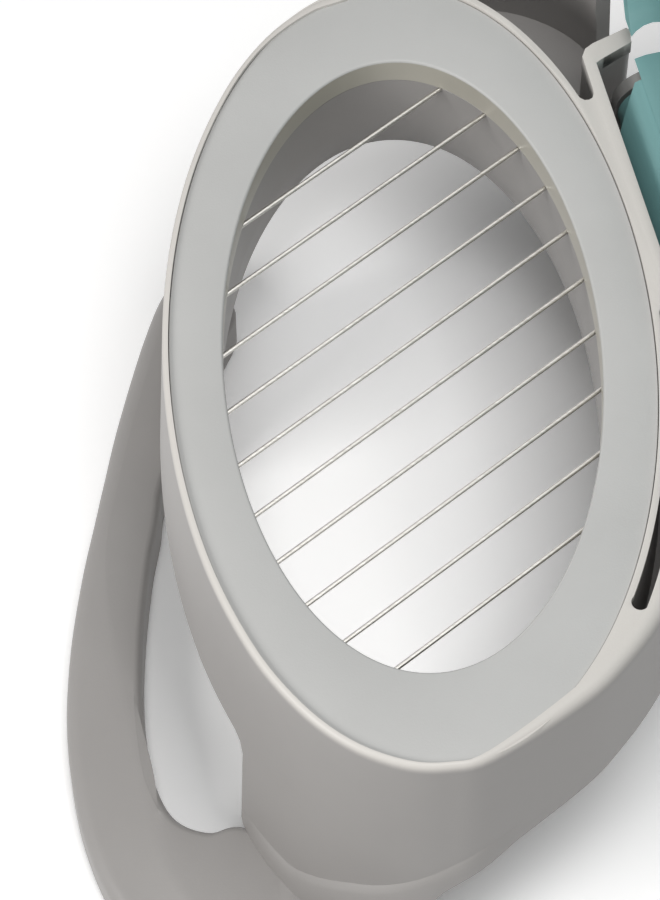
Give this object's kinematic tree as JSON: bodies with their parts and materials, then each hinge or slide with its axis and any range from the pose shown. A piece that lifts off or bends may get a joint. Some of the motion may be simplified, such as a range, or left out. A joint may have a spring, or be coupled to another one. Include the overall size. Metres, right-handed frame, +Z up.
{
  "type": "egg slicer",
  "caption": "Hand egg slicer: an oval ring strung with parallel slanted wires on a footed body, with a hinged press lever whose comb passes between the wires.",
  "frame": {"origin": "middle of the whole object's box, on the table plane, lever open", "axes": "+Z up from the table, +Y along the ring's long axis, +X towards the hinge side"},
  "size_m": [0.1122, 0.1363, 0.143],
  "materials": {
    "grey_plastic": "satin moulded",
    "ring_plastic": "fine matt moulded",
    "teal_plastic": "satin moulded",
    "steel": "satin",
    "wire_steel": "drawn wire",
    "pad_rubber": "soft matt"
  },
  "bodies": {
    "base": {"body": "grey_plastic", "clamp_ring": "ring_plastic", "ring_screws": "steel", "wire_ferrules": "steel", "wire_01": "wire_steel", "wire_02": "wire_steel", "wire_03": "wire_steel", "wire_04": "wire_steel", "wire_05": "wire_steel", "wire_06": "wire_steel", "wire_07": "wire_steel", "wire_08": "wire_steel", "wire_09": "wire_steel", "wire_10": "wire_steel", "foot_loop": "grey_plastic", "rear_foot": "grey_plastic", "foot_screws": "steel", "front_pads": "pad_rubber", "rear_pads": "pad_rubber", "hinge_pin": "steel", "pin_cap_far": "grey_plastic", "pin_cap_near": "grey_plastic"},
    "lever": {"lever": "teal_plastic", "comb": "ring_plastic", "comb_screws": "steel", "thumb_pad": "pad_rubber"}
  },
  "joints": [
    {"name": "lever_hinge", "type": "hinge", "parent": "base", "child": "lever", "pos_m": [0.02744, 0.02906, 0.047], "axis": [0.1942, -0.981, 0], "range_deg": [0, 90]}
  ]
}
